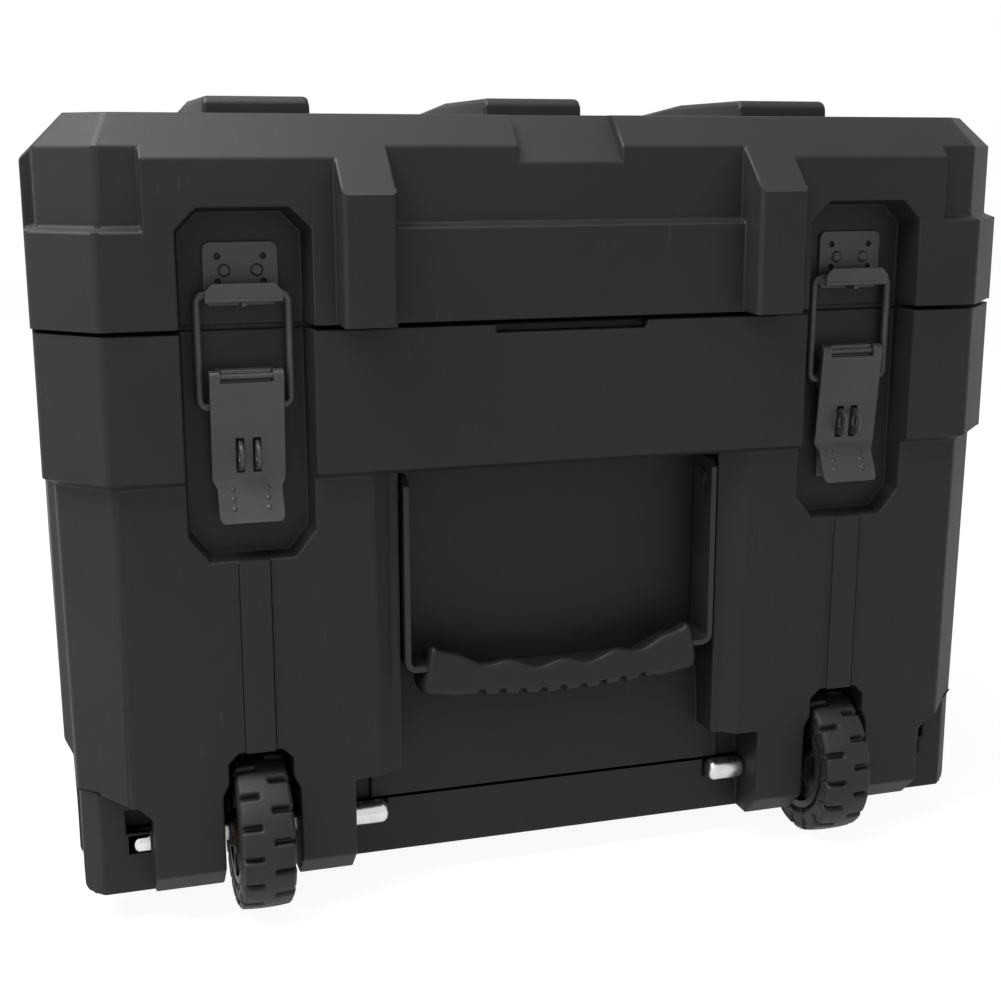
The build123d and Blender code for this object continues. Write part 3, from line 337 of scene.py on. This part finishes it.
# Sintered bronze soaked in oil: dull brown metal with open pores.
sintered_bronze = surface_material("sintered_bronze_pressed", "#4a3a26", "#5c4930", roughness=0.55,
                                   spread=0.1, grain_mm=0.4, bump_mm=0.02, metallic=1.0,
                                   patch_mm=6)
for side in ("left", "right"):
    low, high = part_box("tyre_" + side)
    tyre = new_piece("tyre_tread_" + side, tyre_mesh((low + high) / 2), tyre_rubber,
                     "wheel_" + side)
    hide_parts("tyre_" + side)
    soften("wheel_hub_" + side, "wheel_" + side, glass_filled_nylon, 0.5,
           shortest_mm=0.5)
    finish_node("wheel_bush_" + side, sintered_bronze)
    finish_node("axle_washers_" + side, glass_filled_nylon)

# ---------------------------------------------------------------- axles
# Drawn steel rods with pressed caps, all bright zinc plated, so the ends show as small
# silver domes beside the wheels. The washers are nylon.
zinc_plate = surface_material("zinc_plated_steel_drawn", "#c9cacb", "#dcdddd", roughness=0.26,
                              spread=0.06, grain_mm=0.6, bump_mm=0.008, metallic=1.0, patch_mm=8)
for side in ("left", "right"):
    for part in ("axle", "axle_caps"):
        finish_node(f"{part}_{side}", zinc_plate)

# ---------------------------------------------------------------- swing handles
# Flat steel bar bent to a U and powder coated black, with a soft rubber grip moulded on it.
# The grip dips in the middle, with four finger hollows above and small ribs below.
powder_coat = surface_material("black_powder_coated_steel", "#1c1c1d", "#212122", roughness=0.45,
                               spread=0.06, grain_mm=0.8, bump_mm=0.03, patch_mm=40, shine=0.3)
# Thermoplastic rubber moulded over the bar: close to the case in tone, a little softer in shine.
grip_rubber = surface_material("grip_rubber_overmoulded", "#151515", "#1a1a1a", roughness=0.52,
                               spread=0.06, grain_mm=0.9, bump_mm=0.04, ior=1.5, patch_mm=25,
                               shine=0.25)
GRIP_FALL = 12.0            # the top falls by this towards the case
GRIP_SAG = 13.0             # the middle of the top hangs lower than the ends by this
GRIP_TALL = 35.3            # from the ends' top to the lowest point of the middle
GRIP_BOTTOM_RISE = 6.5
END_ROUND = 3.5
END_SHRINK = 3.2            # the section draws in by this over the rounding of an end
END_LEAN = 5.0              # the top of an end leans inwards by this
LEAN_REACH = 12.0
HOLLOWS = 4
HOLLOW_HALF = 56.0
HOLLOW_DEPTH = 1.7
RIBS = 9
RIB_PITCH = 10.8
RIB_DEPTH = 2.6
RIBBED_RISE = 1.0           # the underside sits higher by this where it is ribbed
NOTCH_HALF = (1.3, 2.3)     # half the notch between two ribs, at its root and at its mouth
SQUARENESS = 3.6            # 2 would make the section an ellipse
GRIP_STEPS = 210
GRIP_POINTS = 80


def grip_mesh(low, high, facing):
    """Grip as rings along X; facing is -1 on the front end of the case and 1 on the rear."""
    work = bmesh.new()
    centre_y = (low.y + high.y) / 2
    half_long = (high.x - low.x) / 2 / MM
    deep = (high.y - low.y) / MM
    top_end = high.z / MM
    rows = []
    for step in range(GRIP_STEPS + 1):
        x = half_long * (-1 + 2 * step / GRIP_STEPS)
        rise = (x / half_long) ** 2
        top = top_end - GRIP_SAG + GRIP_SAG * rise
        bottom = top_end - GRIP_TALL + GRIP_BOTTOM_RISE * rise
        if abs(x) < HOLLOW_HALF:
            top -= HOLLOW_DEPTH * (1 - cos(pi * HOLLOWS * (x / HOLLOW_HALF + 1)))
        end = max(0.0, (abs(x) - (half_long - END_ROUND)) / END_ROUND)
        shrink = END_SHRINK * (1 - sqrt(max(0.0, 1 - end * end)))
        ribbed = abs(x) < (RIBS / 2 + 0.3) * RIB_PITCH
        if ribbed:
            bottom += RIBBED_RISE
        off = abs((x / RIB_PITCH + 0.5) % 1.0 - 0.5) * RIB_PITCH
        notch = (1 - smooth_step(*NOTCH_HALF, off)) if ribbed else 0.0
        half_y = deep / 2 - shrink
        half_z = (top - bottom) / 2 - shrink
        middle_z = (top + bottom) / 2
        ring = []
        for i in range(GRIP_POINTS):
            angle = 2 * pi * i / GRIP_POINTS
            across, up = cos(angle), sin(angle)
            power = 2 / SQUARENESS
            py = half_y * abs(across) ** power * (1 if across > 0 else -1)
            pz = half_z * abs(up) ** power * (1 if up > 0 else -1)
            under = smooth_step(0.45, 0.85, -pz / half_z)
            upper = (pz / half_z + 1) / 2
            behind = (1 - facing * py / half_y) / 2
            pz += RIB_DEPTH * notch * under - GRIP_FALL * upper * upper * behind
            lean = END_LEAN * upper * smooth_step(half_long - LEAN_REACH, half_long, abs(x))
            px = x - (lean if x > 0 else -lean)
            ring.append(work.verts.new((px * MM, centre_y + py * MM, (middle_z + pz) * MM)))
        rows.append(ring)
    for near, far in zip(rows, rows[1:]):
        for i in range(GRIP_POINTS):
            j = (i + 1) % GRIP_POINTS
            work.faces.new((near[i], near[j], far[j], far[i]))
    work.faces.new(rows[0][::-1])
    work.faces.new(rows[-1])
    bmesh.ops.recalc_face_normals(work, faces=work.faces)
    return work


for end, facing in (("front", -1), ("rear", 1)):
    low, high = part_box(end + "_handle_grip")
    grip = new_piece(end + "_grip_moulding", grip_mesh(low, high, facing), grip_rubber,
                     end + "_handle")
    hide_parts(end + "_handle_grip")
    soften(end + "_handle_bar", end + "_handle", powder_coat, 0.5, shortest_mm=0.4)
    finish_node(end + "_handle_pins", powder_coat)

# ---------------------------------------------------------------- rear hinges
# Five-knuckle hinges of pressed steel, powder coated black and riveted through the walls
# of lid and base. A pin with a head at either end, coated too, runs through the knuckles.
for side in ("left", "right"):
    for part in ("hinge_lid_leaf", "hinge_base_leaf", "hinge_pin", "hinge_lid_rivets",
                 "hinge_base_rivets"):
        finish_node(f"{part}_{side}", powder_coat)

# ---------------------------------------------------------------- rear feet
# Moulded rubber blocks that hold the rear level with the wheels. Each is fixed to the
# bottom of the case by two zinc-plated screws, whose heads are sunk into its underside.
for side in ("left", "right"):
    finish_node("rear_foot_" + side, epdm_rubber)
    finish_node("foot_screws_" + side, zinc_plate)

# ---------------------------------------------------------------- studio
# White paper sweep in a plain white room, with two soft lights, one overhead and one above
# the front left corner, and a weak fill from the front left. To the camera and in
# reflections the room is plain white, and the paper glows to nearly the same tone.
ROOM_LIGHT = 0.385
PAPER_GLOW = 1.09
GLOW_SHARE = 0.86           # the rest of the paper's tone is real shading, with its shadows
FLOOR_REACH = 4


def seen_or_mirrored(tree):
    """1 for rays that look straight at a surface or see it reflected or through glass."""
    path = add_node(tree, "ShaderNodeLightPath")
    mirrored = add_node(tree, "ShaderNodeMath", {0: path.outputs["Is Glossy Ray"],
                                                 1: path.outputs["Is Transmission Ray"]},
                        operation="MAXIMUM")
    direct = add_node(tree, "ShaderNodeMath", {0: path.outputs["Is Camera Ray"],
                                               1: mirrored.outputs[0]}, operation="MAXIMUM")
    return direct.outputs[0]


studio = bpy.data.worlds.new("white_studio")
bpy.context.scene.world = studio
studio.use_nodes = True
tree = studio.node_tree
tree.nodes.clear()
room = add_node(tree, "ShaderNodeBackground", {"Color": (1, 1, 1, 1), "Strength": ROOM_LIGHT})
white = add_node(tree, "ShaderNodeBackground", {"Color": (1, 1, 1, 1), "Strength": 1.0})
seen = add_node(tree, "ShaderNodeMixShader", {0: seen_or_mirrored(tree),
                                              1: room.outputs[0], 2: white.outputs[0]})
add_node(tree, "ShaderNodeOutputWorld", {"Surface": seen.outputs[0]})

floor_mesh = bpy.data.meshes.new("studio_floor")
corners = [(x * FLOOR_REACH, y * FLOOR_REACH, 0) for x, y in ((-1, -1), (1, -1), (1, 1), (-1, 1))]
floor_mesh.from_pydata(corners, [], [(0, 1, 2, 3)])
floor = bpy.data.objects.new("studio_floor", floor_mesh)
bpy.context.scene.collection.objects.link(floor)
floor.location.z = -0.5 * MM
paper = bpy.data.materials.new("white_paper_sweep")
paper.use_nodes = True
tree = paper.node_tree
tree.nodes.clear()
matt = add_node(tree, "ShaderNodeBsdfDiffuse", {"Color": linear("#e6e6e6")})
glow = add_node(tree, "ShaderNodeEmission", {"Color": (1, 1, 1, 1), "Strength": PAPER_GLOW})
share = add_node(tree, "ShaderNodeMath", {0: seen_or_mirrored(tree), 1: GLOW_SHARE},
                 operation="MULTIPLY")
both = add_node(tree, "ShaderNodeMixShader", {0: share.outputs[0], 1: matt.outputs[0],
                                              2: glow.outputs[0]})
add_node(tree, "ShaderNodeOutputMaterial", {"Surface": both.outputs[0]})
floor_mesh.materials.append(paper)


def soft_light(name, place, target, width, height, watts):
    """A rectangular area light at a place, turned towards a target."""
    data = bpy.data.lights.new(name, "AREA")
    data.shape = "RECTANGLE"
    data.size, data.size_y, data.energy = width, height, watts
    light = bpy.data.objects.new(name, data)
    light.location = place
    aim = Vector(target) - Vector(place)
    light.rotation_euler = aim.to_track_quat("-Z", "Y").to_euler()
    bpy.context.scene.collection.objects.link(light)


soft_light("overhead", (-0.45, -0.3, 1.8), (-0.1, -0.2, 0.3), 1.4, 1.0, 28)
soft_light("corner_key", (-0.85, -0.40, 1.35), (-0.15, -0.2, 0.3), 0.9, 0.9, 34)
soft_light("side_fill", (-1.5, -1.9, 0.8), (0, 0, 0.25), 1.4, 1.4, 2)

camera = bpy.data.objects.new("camera", bpy.data.cameras.new("camera"))
camera.data.sensor_width = 36.0
camera.data.lens = 55.2
camera.location = (-0.2466, -0.9693, 0.3660)
camera.rotation_euler = (radians(90 - 12.65), radians(0.08), radians(-16.98))
bpy.context.scene.collection.objects.link(camera)
bpy.context.scene.camera = camera
bpy.context.scene.view_settings.view_transform = "Standard"
